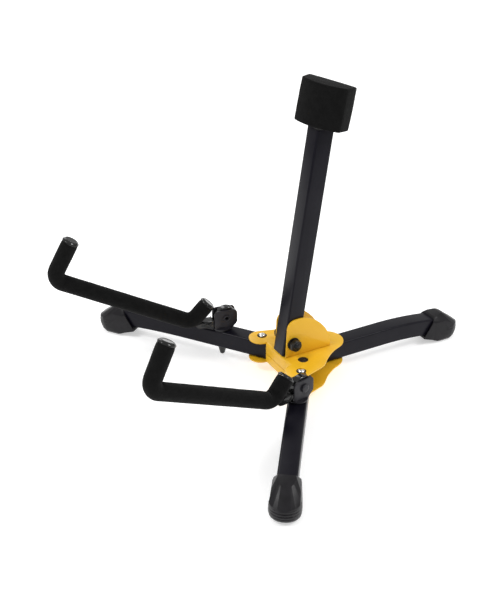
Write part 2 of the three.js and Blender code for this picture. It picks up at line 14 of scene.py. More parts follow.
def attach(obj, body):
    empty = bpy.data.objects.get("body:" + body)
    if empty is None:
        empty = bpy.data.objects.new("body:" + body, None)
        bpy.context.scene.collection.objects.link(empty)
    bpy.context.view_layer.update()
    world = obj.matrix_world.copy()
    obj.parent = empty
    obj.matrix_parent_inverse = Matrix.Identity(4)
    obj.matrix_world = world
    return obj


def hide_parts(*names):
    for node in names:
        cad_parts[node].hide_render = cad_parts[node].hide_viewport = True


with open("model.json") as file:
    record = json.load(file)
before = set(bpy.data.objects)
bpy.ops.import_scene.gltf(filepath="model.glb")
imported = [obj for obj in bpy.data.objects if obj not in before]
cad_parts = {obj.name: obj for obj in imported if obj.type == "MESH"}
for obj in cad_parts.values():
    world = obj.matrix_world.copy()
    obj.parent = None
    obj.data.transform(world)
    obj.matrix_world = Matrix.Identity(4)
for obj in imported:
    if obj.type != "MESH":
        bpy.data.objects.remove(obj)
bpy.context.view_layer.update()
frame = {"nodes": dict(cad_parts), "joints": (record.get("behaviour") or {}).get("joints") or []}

METRE = 1000.0
NODES = frame["nodes"]
JOINTS = {joint["name"]: joint for joint in frame["joints"]}
SIDES = (("right", 1), ("left", -1))

# ------------------------------------------------------------------ dimensions, millimetres

TUBE = 22.0
TUBE_WALL = 1.5
TUBE_CORNER = 2.4
SHEET = 1.6
HUB_BOTTOM = 13.8
HUB_TOP = 41.6
FLANGE_HALF_WIDTH = 29.0
FLANGE_FACE_Y = 4.0
FLANGE_BEND = 3.0
FLANGE_SPLIT = (26.0, 26.8)
EAR_INNER = 11.35
RIVET_HOLE = 3.3
LEG_PIVOT = (46.0, 8.0)
REAR_RIVETS = (44.0, 66.0)
BUTTON = (25.4, 22.9)
BUTTON_HOLE = 6.25
LEG_SPLAY = 35.3
LEG_AXIS_Z = 27.7
FRONT_BOOT_MOUTH = 180
REAR_BOOT_MOUTH = 215
FRONT_BOOT_GAP = (1.3, 0.8)
REAR_BOOT_GAP = (2.2, 0.35)
BACK_LEAN = 8.31
BACK_TUBE_TOP = 258.9
PAD_EXTRA_LEAN = 2.7
PAD_YAW = 30.0
PAD_BASE = 261.6
PAD_HEIGHT = 48.0
ARM_TURN_OUT = 12.0
PIN_Z = 55.15
NECK_Z = 53.7
WEB = (39.8, 41.3)
PIN_BEHIND_SWIVEL = 4.0
FOAM_RADIUS = 10.0
ARM_BEND_RADIUS = 13.0
CAP_LENGTH = 3.6
ARM_CORNERS = ((20.2, 77.1), (42.7, 53.2), (204.7, 136.4), (179.2, 183.1))


def joint_point(name):
    """A joint's place at rest, in millimetres."""
    return Vector(JOINTS[name]["pos_m"]) * METRE


DATUM_Y = joint_point("right_leg_fold").y - LEG_PIVOT[1]
STAND = Matrix.Translation((0, DATUM_Y, 0))


def turned_frame(point, angle):
    return Matrix.Translation((point.x, point.y, 0)) @ Matrix.Rotation(math.radians(angle), 4, "Z")


LEG = {name: turned_frame(joint_point(f"{name}_leg_fold"), -side * (90 + LEG_SPLAY)) for name, side in SIDES}
ARM = {name: turned_frame(joint_point(f"{name}_arm_lift"), 180 + side * ARM_TURN_OUT) for name, side in SIDES}
BACK = Matrix.Translation(joint_point("backrest_fold")) @ Matrix.Rotation(math.radians(-BACK_LEAN), 4, "X")


# ------------------------------------------------------------------ materials

def grey(value):
    return (value, value, value, 1.0)


def shader(name, dark, light, roughness, roughness_spread=0.06, metallic=0.0, coat=0.0, patch=60.0,
           bumps=(), sheen=0.0, specular=0.5):
    """A principled material whose colour and roughness drift in soft patches, with layered fine bumps.

    bumps holds (kind, cells per metre, height in metres) from the coarsest to the finest.
    """
    material = bpy.data.materials.new(name)
    material.use_nodes = True
    nodes, links = material.node_tree.nodes, material.node_tree.links
    surface = nodes["Principled BSDF"]
    surface.inputs["Metallic"].default_value = metallic
    surface.inputs["Coat Weight"].default_value = coat
    surface.inputs["Coat Roughness"].default_value = 0.12
    surface.inputs["Specular IOR Level"].default_value = specular
    surface.inputs["Sheen Weight"].default_value = sheen
    place = nodes.new("ShaderNodeTexCoord").outputs["Object"]

    drift = nodes.new("ShaderNodeTexNoise")
    drift.inputs["Scale"].default_value = patch
    drift.inputs["Detail"].default_value = 5.0
    links.new(place, drift.inputs["Vector"])
    ramp = nodes.new("ShaderNodeValToRGB")
    ramp.color_ramp.elements[0].position = 0.35
    ramp.color_ramp.elements[1].position = 0.68
    ramp.color_ramp.elements[0].color = dark
    ramp.color_ramp.elements[1].color = light
    links.new(drift.outputs["Fac"], ramp.inputs["Fac"])
    links.new(ramp.outputs["Color"], surface.inputs["Base Color"])

    spread = nodes.new("ShaderNodeMapRange")
    spread.inputs["To Min"].default_value = max(0.02, roughness - roughness_spread)
    spread.inputs["To Max"].default_value = min(1.0, roughness + roughness_spread)
    links.new(drift.outputs["Fac"], spread.inputs["Value"])
    links.new(spread.outputs["Result"], surface.inputs["Roughness"])

    normal = None
    for kind, scale, height in bumps:
        if kind == "cells":
            grain = nodes.new("ShaderNodeTexVoronoi")
            grain.inputs["Scale"].default_value = scale
            value = grain.outputs["Distance"]
        else:
            grain = nodes.new("ShaderNodeTexNoise")
            grain.inputs["Scale"].default_value = scale
            grain.inputs["Detail"].default_value = 3.0
            value = grain.outputs["Fac"]
        links.new(place, grain.inputs["Vector"])
        bump = nodes.new("ShaderNodeBump")
        bump.inputs["Distance"].default_value = height
        bump.inputs["Strength"].default_value = 1.0
        links.new(value, bump.inputs["Height"])
        if normal is not None:
            links.new(normal, bump.inputs["Normal"])
        normal = bump.outputs["Normal"]
    if normal is not None:
        links.new(normal, surface.inputs["Normal"])
    return material


PAINT = shader("golden_powder_coat", (0.74, 0.41, 0.012, 1), (0.81, 0.465, 0.022, 1), 0.40, 0.05,
               coat=0.05, patch=18, specular=0.36,
               bumps=(("noise", 420, 0.00006), ("noise", 1500, 0.00002)))
ENAMEL = shader("black_enamel", (0.0040, 0.0036, 0.0070, 1), (0.0068, 0.0062, 0.0102, 1), 0.30, 0.05,
                coat=0.02, patch=25, specular=0.14, bumps=(("noise", 700, 0.00003),))
CHROME = shader("bright_chrome", grey(0.70), grey(0.80), 0.12, 0.03, metallic=1.0, patch=300,
                bumps=(("noise", 900, 0.00001),))
BLACK_STEEL = shader("black_oxide_steel", grey(0.006), grey(0.012), 0.36, 0.08, metallic=0.3, patch=260,
                     specular=0.4, bumps=(("noise", 1200, 0.00003),))
RUBBER = shader("boot_rubber", (0.0030, 0.0025, 0.0038, 1), (0.0062, 0.0054, 0.0074, 1), 0.37, 0.07,
                patch=90, specular=0.26, bumps=(("noise", 350, 0.00006), ("noise", 2600, 0.00002)))
FOAM = shader("closed_cell_foam", grey(0.0025), grey(0.0050), 0.93, 0.05, patch=140, sheen=0.03,
              specular=0.12,
              bumps=(("noise", 220, 0.0002), ("cells", 1700, 0.00016), ("noise", 3800, 0.00006)))
GLOSS = shader("gloss_black_moulding", grey(0.0025), grey(0.0045), 0.18, 0.05, coat=0.3, patch=120,
               specular=0.3, bumps=(("noise", 500, 0.00003),))
CLEVIS_GREY = shader("clevis_nylon", (0.0112, 0.0104, 0.0142, 1), (0.0178, 0.0170, 0.0215, 1), 0.42, 0.06,
                     patch=120, specular=0.30, bumps=(("noise", 800, 0.00005), ("noise", 2800, 0.00002)))
NYLON = shader("black_nylon", grey(0.006), grey(0.011), 0.55, 0.06, patch=150, specular=0.3,
               bumps=(("noise", 1500, 0.00004),))


# ------------------------------------------------------------------ mesh tools

def arc(cx, cy, radius, start, end, steps):
    angles = [math.radians(start + (end - start) * k / steps) for k in range(steps + 1)]
    return [(cx + radius * math.cos(a), cy + radius * math.sin(a)) for a in angles]


def bezier(points, steps):
    """Points after the first one along a cubic or quadratic curve."""
    order = len(points) - 1
    out = []
    for k in range(1, steps + 1):
        t = k / steps
        weights = [math.comb(order, i) * (1 - t) ** (order - i) * t ** i for i in range(order + 1)]
        out.append(tuple(sum(w * p[axis] for w, p in zip(weights, points)) for axis in (0, 1)))
    return out


def rounded_square(size, corner, steps=6, height=None):
    across, up = size / 2 - corner, (height or size) / 2 - corner
    out = []
    for quarter, (sx, sy) in enumerate(((1, 1), (-1, 1), (-1, -1), (1, -1))):
        out += arc(sx * across, sy * up, corner, 90 * quarter, 90 * quarter + 90, steps)
    return out


def circle(radius, steps=48):
    return arc(0, 0, radius, 0, 360, steps)[:-1]


def raised(outline, low, high, axis="Z"):
    """A prism: the outline is (X, Y) raised along Z, or (Y, Z) run along X."""
    def point(a, b, c):
        return (a, b, c) if axis == "Z" else (c, a, b)
    count = len(outline)
    verts = [point(a, b, low) for a, b in outline] + [point(a, b, high) for a, b in outline]
    faces = [tuple(reversed(range(count))), tuple(range(count, 2 * count))]
    faces += [(i, (i + 1) % count, (i + 1) % count + count, i + count) for i in range(count)]
    return verts, faces


def turned(profile, steps=48):
    """A profile of (radius, height) from the lower axis point to the upper one, turned about Z."""
    verts, faces, rings = [], [], []
    for radius, height in profile:
        if radius < 1e-6:
            rings.append([len(verts)])
            verts.append((0, 0, height))
        else:
            rings.append(list(range(len(verts), len(verts) + steps)))
            verts += [(x, y, height) for x, y in circle(radius, steps)]
    for lower, upper in zip(rings, rings[1:]):
        for k in range(steps):
            n = (k + 1) % steps
            corners = [lower[k % len(lower)], lower[n % len(lower)],
                       upper[n % len(upper)], upper[k % len(upper)]]
            face = list(dict.fromkeys(corners))
            if len(face) > 2:
                faces.append(tuple(face))
    return verts, faces


def bent_path(corners, radius, bend_steps, spacing):
    """Stations (point, tangent) in the Y-Z plane: straight runs joined by round bends."""
    corners = [Vector((0, y, z)) for y, z in corners]
    stations = []

    def run(start, end, tangent):
        steps = max(1, round((end - start).length / spacing))
        for k in range(steps):
            stations.append((start.lerp(end, k / steps), tangent))

    here = corners[0]
    for before, corner, after in zip(corners, corners[1:], corners[2:]):
        heading = (corner - before).normalized()
        turn = heading.angle((after - corner).normalized())
        axis = heading.cross(after - corner).normalized()
        inward = axis.cross(heading)
        start = corner - heading * radius * math.tan(turn / 2)
        run(here, start, heading)
        for k in range(bend_steps):
            spin = Matrix.Rotation(turn * k / bend_steps, 3, axis)
            stations.append((start + inward * radius - spin @ inward * radius, spin @ heading))
        spin = Matrix.Rotation(turn, 3, axis)
        here = start + inward * radius - spin @ inward * radius
    heading = (corners[-1] - here).normalized()
    run(here, corners[-1], heading)
    stations.append((corners[-1], heading))
    return stations


def swept(section_at, stations, hollow=None):
    """A section carried along the stations, closed at both ends; hollow is an inner section like it."""
    across = Vector((1, 0, 0))
    verts, faces = [], []
    loops = [section_at] if hollow is None else [section_at, hollow]
    count = len(loops[0](0))
    for section in loops:
        for index, (point, tangent) in enumerate(stations):
            up = across.cross(tangent)
            verts += [tuple(point + across * a + up * b) for a, b in section(index)]
    last = len(stations) - 1
    for layer in range(len(loops)):
        base = layer * count * len(stations)
        for i in range(last):
            for k in range(count):
                n = (k + 1) % count
                quad = [base + i * count + k, base + (i + 1) * count + k, base + (i + 1) * count + n,
                        base + i * count + n]
                faces.append(tuple(quad if layer == 0 else reversed(quad)))
    if hollow is None:
        faces += [tuple(range(count)), tuple(reversed(range(last * count, (last + 1) * count)))]
    else:
        inner = count * len(stations)
        for k in range(count):
            n = (k + 1) % count
            faces.append((k, n, inner + n, inner + k))
            end = last * count
            faces.append((end + n, end + k, inner + end + k, inner + end + n))
    return verts, faces


def make(name, shape, place=STAND):
    """A Blender object from millimetre points in a local frame."""
    verts, faces = shape
    to_row = Matrix.Scale(1 / METRE, 4) @ place
    mesh = bpy.data.meshes.new(name)
    mesh.from_pydata([to_row @ Vector(v) for v in verts], [], faces)
    solid = bmesh.new()
    solid.from_mesh(mesh)
    bmesh.ops.recalc_face_normals(solid, faces=solid.faces)
    solid.to_mesh(mesh)
    solid.free()
    obj = bpy.data.objects.new(name, mesh)
    bpy.context.scene.collection.objects.link(obj)
    return obj


def apply_modifiers(obj):
    bpy.context.view_layer.update()
    shown = obj.evaluated_get(bpy.context.evaluated_depsgraph_get())
    mesh = bpy.data.meshes.new_from_object(shown)
    obj.modifiers.clear()
    obj.data = mesh


def combine(obj, operation, *others):
    for other in others:
        change = obj.modifiers.new(operation.lower(), "BOOLEAN")
        change.operation = operation
        change.solver = "EXACT"
        change.object = other
        apply_modifiers(obj)
        bpy.data.objects.remove(other)


def rounded_edges(obj, width, segments=2, limit=35):
    bevel = obj.modifiers.new("edges", "BEVEL")
    bevel.width = width / METRE
    bevel.segments = segments
    bevel.limit_method = "ANGLE"
    bevel.angle_limit = math.radians(limit)
    bevel.use_clamp_overlap = True
    apply_modifiers(obj)


def finish_piece(obj, material, body, replaced, smooth=38):
    """Smooth shading, one material, the body it rides on and the CAD nodes it replaces."""
    mesh = obj.data
    mesh.polygons.foreach_set("use_smooth", [True] * len(mesh.polygons))
    mesh.set_sharp_from_angle(angle=math.radians(smooth))
    mesh.materials.clear()
    mesh.materials.append(material)
    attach(obj, body)
    if replaced:
        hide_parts(*replaced)


def along_x(place):
    """The frame in which a shape turned about Z lies along X, its lower end toward -X."""
    return place @ Matrix.Rotation(math.radians(90), 4, "Y")


# ------------------------------------------------------------------ hub shells

def hub_outline():
    front = FLANGE_FACE_Y + FLANGE_BEND
    half = [(FLANGE_HALF_WIDTH, front)]
    half += arc(43.5, 5, 14.5, 184, 377.6, 30)
    half += [(49.5, 34)]
    half += bezier([(49.5, 34), (47.5, 40.5), (41, 45), (36, 50.5)], 12)
    half += bezier([(36, 50.5), (29.5, 57.7), (22.6, 67.7), (20.3, 76.4)], 14)
    half += arc(0, 70.5, 20.7, 15, 90, 14)
    return half + [(-x, y) for x, y in reversed(half[:-1])]


def front_flange(plate_z, end_z, sign):
    outer, inner = FLANGE_FACE_Y, FLANGE_FACE_Y + SHEET
    bend_y, bend_z = outer + FLANGE_BEND, plate_z - sign * FLANGE_BEND
    under = bend_z + sign * (FLANGE_BEND - SHEET)
    outline = [(outer, end_z), (inner, end_z), (inner, bend_z)]
    outline += bezier([(inner, bend_z), (inner, under), (bend_y, under)], 6)
    outline += [(bend_y + 0.6, under), (bend_y + 0.6, plate_z), (bend_y, plate_z)]
    outline += bezier([(bend_y, plate_z), (outer, plate_z), (outer, bend_z)], 8)
    return raised(outline, -FLANGE_HALF_WIDTH, FLANGE_HALF_WIDTH, "X")


def ear_outline():
    return [(7, HUB_TOP - 1), (8.5, 79)] + bezier([(8.5, 79), (9, 84), (12.5, 88.5), (18, 89.2)], 12) \
        + bezier([(18, 89.2), (27, 90.3), (35.5, 89), (43.5, 84)], 12) \
        + bezier([(43.5, 84), (53, 78), (62, 68.5), (66, 56)], 14) \
        + bezier([(66, 56), (67.6, 51), (68.2, 46), (67.4, HUB_TOP - 1)], 8)


def drill(radius, x, y, low, high):
    return make("drill", raised([(x + a, y + b) for a, b in circle(radius, 40)], low, high))


def hub_shell(name, plate_low, plate_high, flange, extras, holes, creases=()):
    shell = make(name, raised(hub_outline(), plate_low, plate_high))
    combine(shell, "UNION", make("flange", flange), *extras)
    rivets = [(side * LEG_PIVOT[0], LEG_PIVOT[1]) for _, side in SIDES] + [(0, y) for y in REAR_RIVETS]
    for crease in creases:
        combine(shell, "DIFFERENCE", crease)
    combine(shell, "DIFFERENCE", *holes,
            *[drill(RIVET_HOLE, x, y, plate_low - 1, plate_high + 1) for x, y in rivets])
    rounded_edges(shell, 0.32)
    finish_piece(shell, PAINT, "hub", [name.replace("_look", "")])


def hub():
    ears = [make("ear", raised(ear_outline(), *sorted((side * EAR_INNER, side * (EAR_INNER + SHEET))), "X"))
            for _, side in SIDES]
    buttons = [drill(BUTTON_HOLE, side * BUTTON[0], BUTTON[1], HUB_TOP - 3, HUB_TOP + 1) for _, side in SIDES]
    outer = EAR_INNER + SHEET
    creases = [make("crease", raised([(x, 5), (x + side * 0.8, 5), (x + side * 0.8, 72), (x, 72)],
                                     HUB_TOP - 0.35, HUB_TOP + 0.4))
               for side, x in ((1, outer - 0.4), (-1, 0.4 - outer))]
    hub_shell("hub_top_shell_look", HUB_TOP - SHEET, HUB_TOP,
              front_flange(HUB_TOP, FLANGE_SPLIT[1], 1), ears, buttons, creases)
    hub_shell("hub_bottom_shell_look", HUB_BOTTOM, HUB_BOTTOM + SHEET,
              front_flange(HUB_BOTTOM, FLANGE_SPLIT[0], -1), [], [])


def rivets():
    under = HUB_BOTTOM - 0.3
    shade_ring_top = HUB_TOP + 0.32
    dome = [(4.2 * math.cos(math.radians(a)), shade_ring_top + 0.2 + 2.2 * math.sin(math.radians(a)))
            for a in range(0, 91, 9)]
    profile = [(0, under - 1.4), (3.9, under - 1.4), (4.8, under - 0.9), (5, under), (3, under),
               (3, shade_ring_top), (4.1, shade_ring_top)] + dome[:-1] + [(0, dome[-1][1])]
    # The seat is a thin black ring around each chrome dome: painted shade, standing for the shadow in the
    # rivet's countersunk hole.
    seat = [(4.2, HUB_TOP + 0.02), (5.8, HUB_TOP + 0.02), (5.8, HUB_TOP + 0.2), (5.4, shade_ring_top),
            (4.2, shade_ring_top), (4.2, HUB_TOP + 0.02)]
    spots = {f"{name}_leg_rivet": (side * LEG_PIVOT[0], LEG_PIVOT[1]) for name, side in SIDES}
    spots.update({"rear_leg_rivet_front": (0, REAR_RIVETS[0]), "rear_leg_rivet_rear": (0, REAR_RIVETS[1])})
    for node, (x, y) in spots.items():
        place = STAND @ Matrix.Translation((x, y, 0))
        finish_piece(make(f"{node}_look", turned(profile), place), CHROME, "hub", [node])
        finish_piece(make(f"{node}_painted_shade_ring", turned(seat), place), NYLON, "hub", [])


def lock_buttons():
    foot, collar, top = HUB_BOTTOM + SHEET + 2.9, HUB_TOP - SHEET - 0.3, HUB_TOP
    profile = [(0, foot), (3.4, foot), (4, foot + 0.6), (4, collar - 1.7), (7.6, collar - 1.7), (7.6, collar),
               (5.95, collar), (5.95, top - 0.5), (5.6, top - 0.15), (4.6, top - 0.15), (4.3, top - 0.5),
               (3.4, top - 0.6), (3.0, top - 0.3), (0, top - 0.2)]
    for name, side in SIDES:
        place = STAND @ Matrix.Translation((side * BUTTON[0], BUTTON[1], 0))
        node = f"{name}_lock_button"
        finish_piece(make(f"{node}_look", turned(profile), place), NYLON, node, [node])


# ------------------------------------------------------------------ legs and boots

def square_tube(name, stations, place):
    outer = rounded_square(TUBE, TUBE_CORNER)
    inner = rounded_square(TUBE - 2 * TUBE_WALL, TUBE_CORNER - TUBE_WALL + 0.2)
    return make(name, swept(lambda i: outer, stations, lambda i: inner), place)


FRONT_STATIONS = bent_path(((-12, LEG_AXIS_Z), (150, LEG_AXIS_Z), (200, 22.9)), 870, 12, 200)
REAR_STATIONS = bent_path(((30, LEG_AXIS_Z), (185, LEG_AXIS_Z), (238, 19.2)), 450, 14, 200)


BOOT_TOE = (29.8, 17.5)
BOOT_RIDGES = ((6.6, 8.8, 16.2), (10.0, 12.2, 17.0), (13.4, 15.6, 17.1), (16.8, 19.0, 16.8))
RIDGE_CENTRE = 31.0
# Toe slopes as (heading, (X, Y) of a point on the top, steepness).
BOOT_TOE_SLOPES = ((0, (0, 26), 0.76), (24, (5, 26), 0.80), (46, (6.4, 25), 0.9), (68, (9, 21), 1.0))
# The lower rim as (reach at the toe, reach at the sides, height).
BOOT_RIM = ((8, 13, 0), (12, 15, 1.4), (15.2, 16.6, 4.4), (17, 17.3, 8.2), (17.5, 17.5, 12))
FRONT_CROWN = ((0, 37.8), (6, 38.8), (26, 35.2))
REAR_CROWN = ((0, 34.9), (21, 36.9), (28, 35.0))


def slope_plane(first, second):
    """A plane across X through two (Y, Z) points, its outside on the left of the run."""
    dy, dz = second[0] - first[0], second[1] - first[1]
    return Vector((0, *first)), Vector((0, -dz, dy))


def boot_planes(crown):
    """The boot's facets as (point, outward normal), from the mouth to the toe slope and the underside."""
    def crown_at(y):
        first, second = next(pair for pair in zip(crown, crown[1:]) if y <= pair[1][0])
        return first[1] + (second[1] - first[1]) * (y - first[0]) / (second[0] - first[0])

    planes = [slope_plane((-6, 12.5), crown[0]), slope_plane((-9, 8), (-6, 12.5))]
    planes += [slope_plane(first, second) for first, second in zip(crown, crown[1:])]
    for side in (1, -1):
        planes.append((Vector((side * 17.6, 0, 8)), Vector((side * 22, 0, 2.6))))
        planes.append((Vector((side * 15, 0, 29)), Vector((side * 9.6, 0, 6.0))))
        planes.append((Vector((side * 8.8, 3, crown_at(3))), Vector((side * 0.62, -0.13, 0.77))))
        planes.append((Vector((side * 9.6, 13, crown_at(13))), Vector((side * 0.66, 0.16, 0.74))))
        planes.append((Vector((side * 17.5, 0, 6.5)), Vector((side * 5, 0, -1.6))))
        planes.append((Vector((side * 16.2, 0, 2.6)), Vector((side * 4, 0, -4.4))))
    planes.append(slope_plane((20, 0), (-8, 10.3)))
    for angle, top, drop in BOOT_TOE_SLOPES:
        for side in (1, -1):
            out = Vector((side * math.sin(math.radians(angle)), math.cos(math.radians(angle)), 0))
            planes.append((Vector((side * top[0], top[1], 35.4)), out * drop + Vector((0, 0, 1))))
    hub_point = Vector((0, BOOT_TOE[0], 0))
    for angle in range(-90, 91, 15):
        out = Vector((math.sin(math.radians(angle)), math.cos(math.radians(angle)), 0))
        sideways = math.sin(math.radians(angle)) ** 2
        rim = [(toe + (flank - toe) * sideways, height) for toe, flank, height in BOOT_RIM]
        for (reach, low), (further, high) in zip(rim, rim[1:]):
            planes.append((hub_point + out * reach + Vector((0, 0, low)),
                           out * (high - low) - Vector((0, 0, further - reach))))
    return planes


def boot_body(crown):
    toe, radius = BOOT_TOE
    right = [(13.9, -12), (14.3, 6)] + bezier([(14.3, 6), (radius, 18), (radius, toe)], 8)
    outline = right + arc(0, toe, radius, 0, 180, 44)[1:-1] + [(-x, y) for x, y in reversed(right)]
    body = make("boot_body", raised(outline, 0, 41), Matrix.Identity(4))
    solid = bmesh.new()
    solid.from_mesh(body.data)
    for point, normal in boot_planes(crown):
        cut = bmesh.ops.bisect_plane(solid, geom=solid.verts[:] + solid.edges[:] + solid.faces[:],
                                     plane_co=point / METRE, plane_no=normal.normalized(), clear_outer=True,
                                     dist=1e-7)
        rim = [e for e in cut["geom_cut"] if isinstance(e, bmesh.types.BMEdge)]
        if rim:
            bmesh.ops.contextual_create(solid, geom=rim)
    bmesh.ops.recalc_face_normals(solid, faces=solid.faces)
    solid.to_mesh(body.data)
    solid.free()
    rounded_edges(body, 0.6, 2, 14)
    for low, high, reach in BOOT_RIDGES:
        rim = [(x, y + RIDGE_CENTRE) for x, y in circle(reach, 88)]
        ridge = make("ridge", raised(rim, low, high), Matrix.Identity(4))
        rounded_edges(ridge, 0.6, 3)
        combine(body, "UNION", ridge)
    return body


def boot(node, mouth, stations, place, body, crown, gap):
    """The facetted boot, its mouth opened by a funnel wider than the tube by gap, at the side and on top."""
    cover = boot_body(crown)
    cover.name = f"{node}_look"
    to_place = place @ Matrix.Translation((0, mouth, 0))
    cover.data.transform(Matrix.Scale(1 / METRE, 4) @ to_place @ Matrix.Scale(METRE, 4))
    inside = [s for s in stations if s[0].y > mouth - 45]
    end, heading = inside[-1]
    inside.append((end + heading * 0.6, heading))
    tight = rounded_square(TUBE + 0.7, TUBE_CORNER, 10)
    socket = make("socket", swept(lambda i: tight, inside), place)
    depth = 7.5
    start, heading = min(inside, key=lambda s: abs(s[0].y - mouth))
    centre = start + heading * ((mouth - start.y) / heading.y)
    wide = rounded_square(TUBE + 2 * gap[0], 5.6, 10, TUBE + 2 * gap[1])
    funnel_at = [(centre - heading * 20, heading), (centre, heading), (centre + heading * depth, heading)]
    sections = (wide, wide, tight)
    funnel = make("funnel", swept(lambda i: sections[i], funnel_at), place)
    combine(cover, "DIFFERENCE", socket, funnel)
    finish_piece(cover, RUBBER, body, [node], smooth=34)


def legs():
    for name, _ in SIDES:
        tube = square_tube(f"{name}_leg_tube_look", FRONT_STATIONS, LEG[name])
        finish_piece(tube, ENAMEL, f"{name}_leg", [f"{name}_leg_tube"])
        boot(f"{name}_foot", FRONT_BOOT_MOUTH, FRONT_STATIONS, LEG[name], f"{name}_leg", FRONT_CROWN,
             FRONT_BOOT_GAP)
    rear = square_tube("rear_leg_tube_look", REAR_STATIONS, STAND)
    finish_piece(rear, ENAMEL, "hub", ["rear_leg_tube"])
    boot("rear_foot", REAR_BOOT_MOUTH, REAR_STATIONS, STAND, "hub", REAR_CROWN, REAR_BOOT_GAP)


# ------------------------------------------------------------------ backrest

def backrest_tube():
    outer = rounded_square(TUBE, TUBE_CORNER)
    inner = rounded_square(TUBE - 2 * TUBE_WALL, TUBE_CORNER - TUBE_WALL + 0.2)
    verts, faces = [], []
    count = len(outer)
    for section in (outer, inner):
        for z in (-18, BACK_TUBE_TOP):
            verts += [(a, b, z) for a, b in section]
    for k in range(count):
        n = (k + 1) % count
        faces += [(k, n, count + n, count + k), (2 * count + n, 2 * count + k, 3 * count + k, 3 * count + n),
                  (n, k, 2 * count + k, 2 * count + n), (count + k, count + n, 3 * count + n, 3 * count + k)]
    tube = make("backrest_tube_look", (verts, faces), BACK)
    toe = 16.3
    side = [(-13, -toe)] + arc(0, 0, toe, -90, -45, 16) + [(13, -11.5), (13, 270), (-13, 270)]
    combine(tube, "INTERSECT", make("trim", raised(side, -14, 14, "X"), BACK))
    rounded_edges(tube, 0.25, 2, 50)
    finish_piece(tube, ENAMEL, "backrest", ["backrest_tube"])


def hex_head(name, low, high, body, node, far=True):
    """A chamfered hexagon across the pivot; far puts the chamfer on the +X face."""
    corner = 6.5 / math.cos(math.radians(30))
    place = along_x(Matrix.Translation(joint_point("backrest_fold")))
    head = make(name, raised(arc(0, 0, corner, 0, 360, 6)[:-1], low, high), place)
    dome = [(0, low - 1), (corner + 1, low - 1), (corner + 1, high - 2.2), (6.4, high + 0.02),
            (0, high + 0.02)]
    if not far:
        dome = [(radius, low + high - height) for radius, height in reversed(dome)]
    combine(head, "INTERSECT", make("chamfer", turned(dome), place))
    rounded_edges(head, 0.25, 2, 25)
    finish_piece(head, BLACK_STEEL, body, [node] if node else [])


def pivot_bolt():
    place = along_x(Matrix.Translation(joint_point("backrest_fold")))
    hex_head("backrest_nut_look", 15.05, 21.25, "hub", "backrest_nut")
    thread = []
    x = -15.7
    while x < 22.7:
        thread += [(3.98, x), (3.98, x + 0.15), (3.55, x + 0.55), (3.55, x + 0.7)]
        x += 1.1
    profile = [(0, -15.7)] + thread + [(3.4, 23.3), (2.4, 24.1), (0, 24.3)]
    hex_head("backrest_bolt_head", -20.35, -15.05, "hub", None, far=False)
    finish_piece(make("backrest_bolt_look", turned(profile, 32), place), BLACK_STEEL, "hub",
                 ["backrest_bolt"])


def back_pad():
    """The foam block: a D-shaped section, softly rounded rims and a skin that is never quite flat."""
    half = bezier([(28.2, -10.4), (29.2, -4), (29.6, 5.0)], 6) \
        + bezier([(29.6, 5.0), (29.6, 7.6), (27.6, 7.9)], 4) \
        + bezier([(27.6, 7.9), (14, 9.6), (0, 9.6)], 14)
    front = bezier([(-28.2, -10.4), (-28.0, -12.0), (-26.6, -12.9)], 3) \
        + bezier([(-26.6, -12.9), (0, -29.2), (26.6, -12.9)], 30) \
        + bezier([(26.6, -12.9), (28.0, -12.0), (28.2, -10.4)], 3)[:-1]
    outline = [(28.2, -10.4)] + half + [(-x, y) for x, y in reversed(half[:-1])] + [(-28.2, -10.4)] + front
    rim = 1.3
    levels = [(rim * (1 - math.cos(math.radians(a))), rim * (1 - math.sin(math.radians(a))))
              for a in (0, 22, 45, 68)]
    rows = list(levels)
    rows += [(rim + (PAD_HEIGHT - 2 * rim) * k / 12, 0.0) for k in range(13)]
    rows += [(PAD_HEIGHT - drop, inset) for drop, inset in reversed(levels)]
    centre = Vector((0, -5.5))
    verts, faces = [], []
    for z, inset in rows:
        belly = 0.3 * math.sin(math.pi * z / PAD_HEIGHT)
        for x, y in outline:
            spoke = Vector((x, y)) - centre
            grain = 0.16 * noise.noise(Vector((x, y, z)) * 0.16)
            spot = centre + spoke * (1 + (belly - inset + grain) / spoke.length)
            verts.append((spot.x, spot.y, z))
    count = len(outline)
    for row in range(len(rows) - 1):
        for k in range(count):
            n = (k + 1) % count
            faces.append((row * count + k, row * count + n, (row + 1) * count + n, (row + 1) * count + k))
    faces += [tuple(reversed(range(count))), tuple(range((len(rows) - 1) * count, len(rows) * count))]
    lean = Matrix.Rotation(math.radians(-PAD_EXTRA_LEAN), 4, "X")
    yaw = Matrix.Rotation(math.radians(PAD_YAW), 4, "Z")
    place = BACK @ Matrix.Translation((0, 0, PAD_BASE)) @ lean @ yaw
    pad = make("backrest_pad_look", (verts, faces), place)
    finish_piece(pad, FOAM, "back_pad", ["backrest_pad"], smooth=60)


# ------------------------------------------------------------------ arms

def arm_stations(trim, spacing=4.0, bend_steps=14):
    first, second, third, last = (Vector(c) for c in ARM_CORNERS)
    start = first + (second - first).normalized() * trim
    end = last + (third - last).normalized() * trim
    corners = [tuple(corner) for corner in (start, second, third, end)]
    return bent_path(corners, ARM_BEND_RADIUS, bend_steps, spacing)


